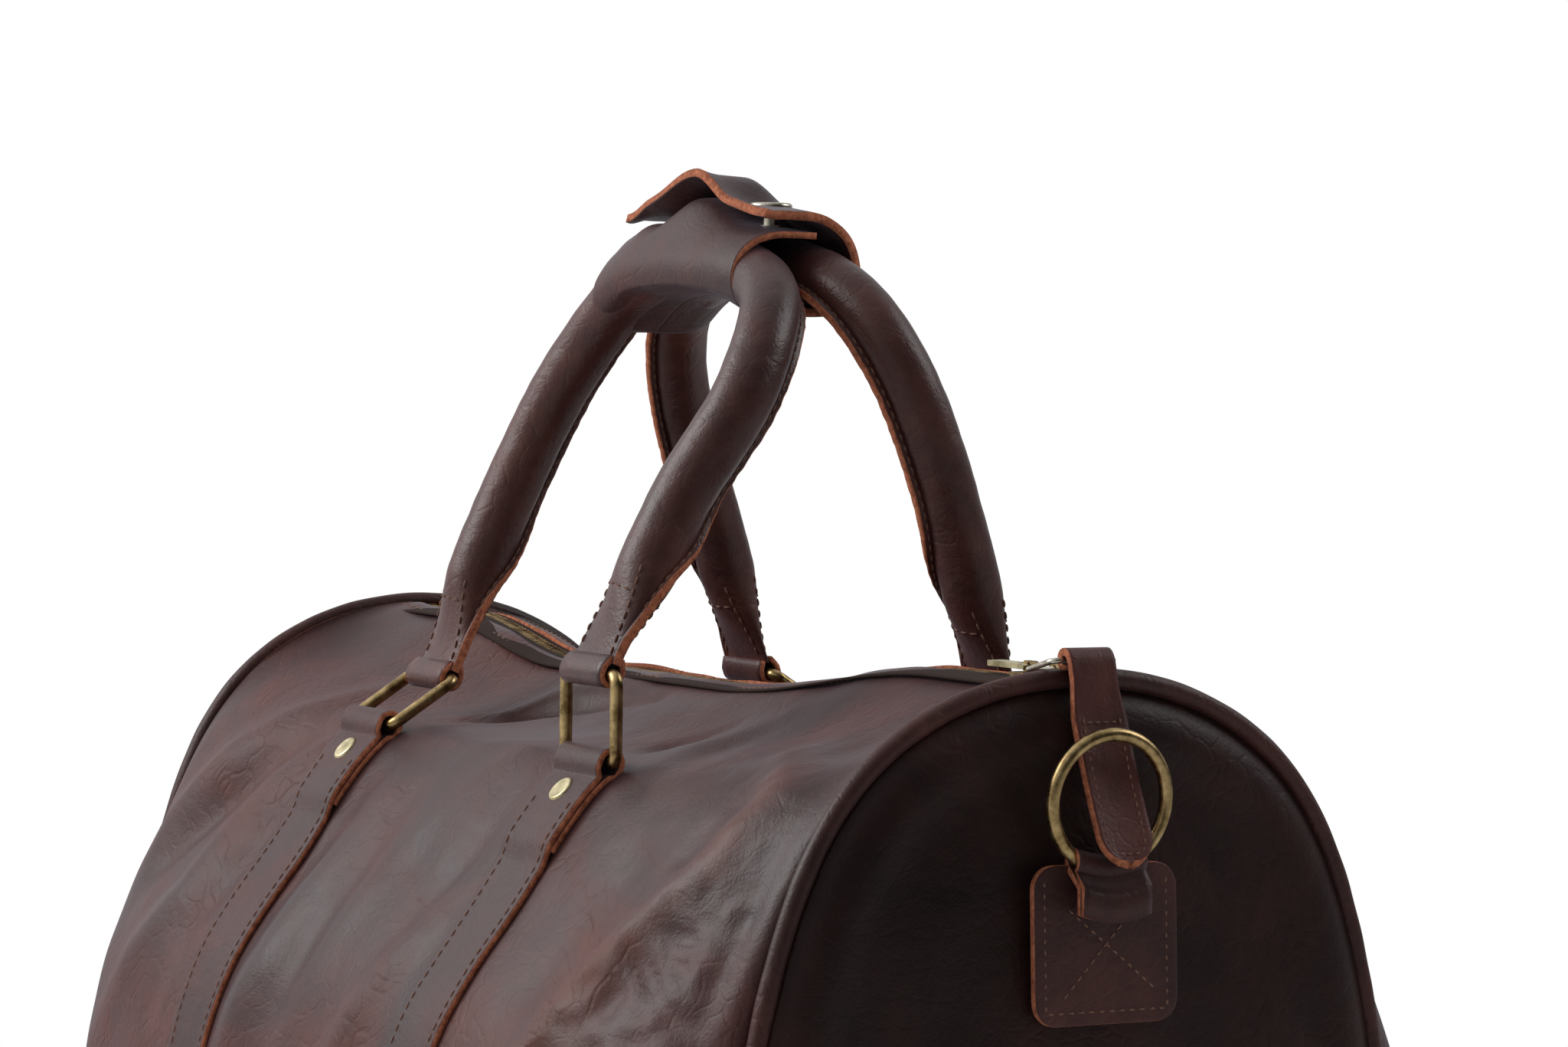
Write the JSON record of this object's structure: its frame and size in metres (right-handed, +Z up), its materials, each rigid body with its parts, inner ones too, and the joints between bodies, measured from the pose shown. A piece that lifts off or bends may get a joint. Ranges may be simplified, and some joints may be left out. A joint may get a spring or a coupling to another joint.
{
  "type": "duffel bag",
  "caption": "Leather travel duffel bag with rolled handles held by a snap grip wrap, a zip along its top and round rings on its ends.",
  "frame": {"origin": "on the floor under the middle of the bag", "axes": "+X along the bag towards the end where the zip closes, -Y is the front, +Z up"},
  "size_m": [0.5617, 0.342, 0.4551],
  "materials": {
    "leather": "oiled pull-up leather, dark red-brown, soft sheen",
    "raw_edge": "raw cut leather edge, orange tan, fibrous",
    "thread": "waxed sewing thread, tan",
    "lining": "plain woven cotton",
    "board": "pressed fibre board and cord",
    "steel": "pale plated steel",
    "brass": "antique brass, softly polished",
    "zip_tape": "woven herringbone tape",
    "zip_metal": "antique brass zip teeth"
  },
  "bodies": {
    "bag": {"front_panel": "leather", "back_panel": "leather", "bottom_panel": "leather", "end_panel_right": "leather", "end_panel_left": "leather", "piping_right": "leather", "piping_left": "leather", "strap_right": "leather", "strap_left": "leather", "ring_tab_right": "leather", "ring_tab_left": "leather", "lining": "lining", "base_board": "board", "feet": "steel", "foot_washers": "steel", "strap_rivets": "steel", "rivet_burrs": "steel", "slider_b": "steel", "zip_tape_front": "zip_tape", "zip_tape_back": "zip_tape", "zip_teeth_front": "zip_metal", "zip_teeth_back": "zip_metal", "zip_stops": "zip_metal"},
    "handle_front": {"handle_front": "leather", "handle_core_front": "board", "wrap_sleeve": "leather", "snap_stud": "steel"},
    "handle_back": {"handle_back": "leather", "handle_core_back": "board"},
    "wrap_flap": {"wrap_flap": "leather", "snap_cap": "steel"},
    "ring_front_right": {"ring_front_right": "brass"},
    "ring_front_left": {"ring_front_left": "brass"},
    "ring_back_right": {"ring_back_right": "brass"},
    "ring_back_left": {"ring_back_left": "brass"},
    "slider_a": {"slider_a": "steel"},
    "slider_a_pull": {"slider_a_pull": "steel"},
    "slider_b_yoke": {"slider_b_yoke": "steel"},
    "leather_pull": {"leather_pull": "leather"},
    "o_ring_right": {"o_ring_right": "brass"},
    "o_ring_left": {"o_ring_left": "brass"}
  },
  "joints": [
    {"name": "handle_front_swing", "type": "hinge", "parent": "bag", "child": "handle_front", "pos_m": [0, -0.09471, 0.25021], "axis": [1, 0, 0], "range_deg": [0, 125], "deforming": ["wrap_sleeve", "wrap_flap"]},
    {"name": "handle_back_swing", "type": "hinge", "parent": "bag", "child": "handle_back", "pos_m": [0, 0.09471, 0.25021], "axis": [-1, 0, 0], "range_deg": [0, 150], "deforming": ["wrap_sleeve", "wrap_flap"]},
    {"name": "ring_front_right_turn", "type": "hinge", "parent": "bag", "child": "ring_front_right", "pos_m": [0.092, -0.09471, 0.25021], "axis": [1, 0, 0], "range_deg": [0, 125]},
    {"name": "ring_front_left_turn", "type": "hinge", "parent": "bag", "child": "ring_front_left", "pos_m": [-0.092, -0.09471, 0.25021], "axis": [1, 0, 0], "range_deg": [0, 125]},
    {"name": "ring_back_right_turn", "type": "hinge", "parent": "bag", "child": "ring_back_right", "pos_m": [0.092, 0.09471, 0.25021], "axis": [-1, 0, 0], "range_deg": [0, 150]},
    {"name": "ring_back_left_turn", "type": "hinge", "parent": "bag", "child": "ring_back_left", "pos_m": [-0.092, 0.09471, 0.25021], "axis": [-1, 0, 0], "range_deg": [0, 150]},
    {"name": "wrap_flap_open", "type": "hinge", "parent": "handle_front", "child": "wrap_flap", "pos_m": [0.008, 0, 0.4085], "axis": [-1, 0, 0], "range_deg": [0, 140], "deforming": ["wrap_sleeve", "wrap_flap"]},
    {"name": "slider_a_run", "type": "slide", "parent": "bag", "child": "slider_a", "axis": [-1, 0, 0], "range_m": [0, 0.45]},
    {"name": "slider_a_pull_flip", "type": "hinge", "parent": "slider_a", "child": "slider_a_pull", "pos_m": [0.226, 0, 0.28885], "axis": [0, 1, 0], "range_deg": [0, 160]},
    {"name": "slider_b_yoke_lift", "type": "hinge", "parent": "bag", "child": "slider_b_yoke", "pos_m": [0.242, 0, 0.28885], "axis": [0, -1, 0], "range_deg": [0, 120], "deforming": ["leather_pull"]},
    {"name": "leather_pull_lift", "type": "hinge", "parent": "slider_b_yoke", "child": "leather_pull", "pos_m": [0.25849, 0, 0.29296], "axis": [0, -1, 0], "range_deg": [0, 110], "deforming": ["leather_pull"]},
    {"name": "o_ring_right_turn", "type": "hinge", "parent": "bag", "child": "o_ring_right", "pos_m": [0.27335, 0, 0.227], "axis": [0, 1, 0], "range_deg": [0, 165], "deforming": ["leather_pull"]},
    {"name": "o_ring_left_turn", "type": "hinge", "parent": "bag", "child": "o_ring_left", "pos_m": [-0.27335, 0, 0.227], "axis": [0, 1, 0], "range_deg": [0, 165]}
  ],
  "couplings": [
    {"joint": "ring_front_right_turn", "follows": "handle_front_swing", "ratio": 1},
    {"joint": "ring_front_left_turn", "follows": "handle_front_swing", "ratio": 1},
    {"joint": "ring_back_right_turn", "follows": "handle_back_swing", "ratio": 1},
    {"joint": "ring_back_left_turn", "follows": "handle_back_swing", "ratio": 1}
  ]
}
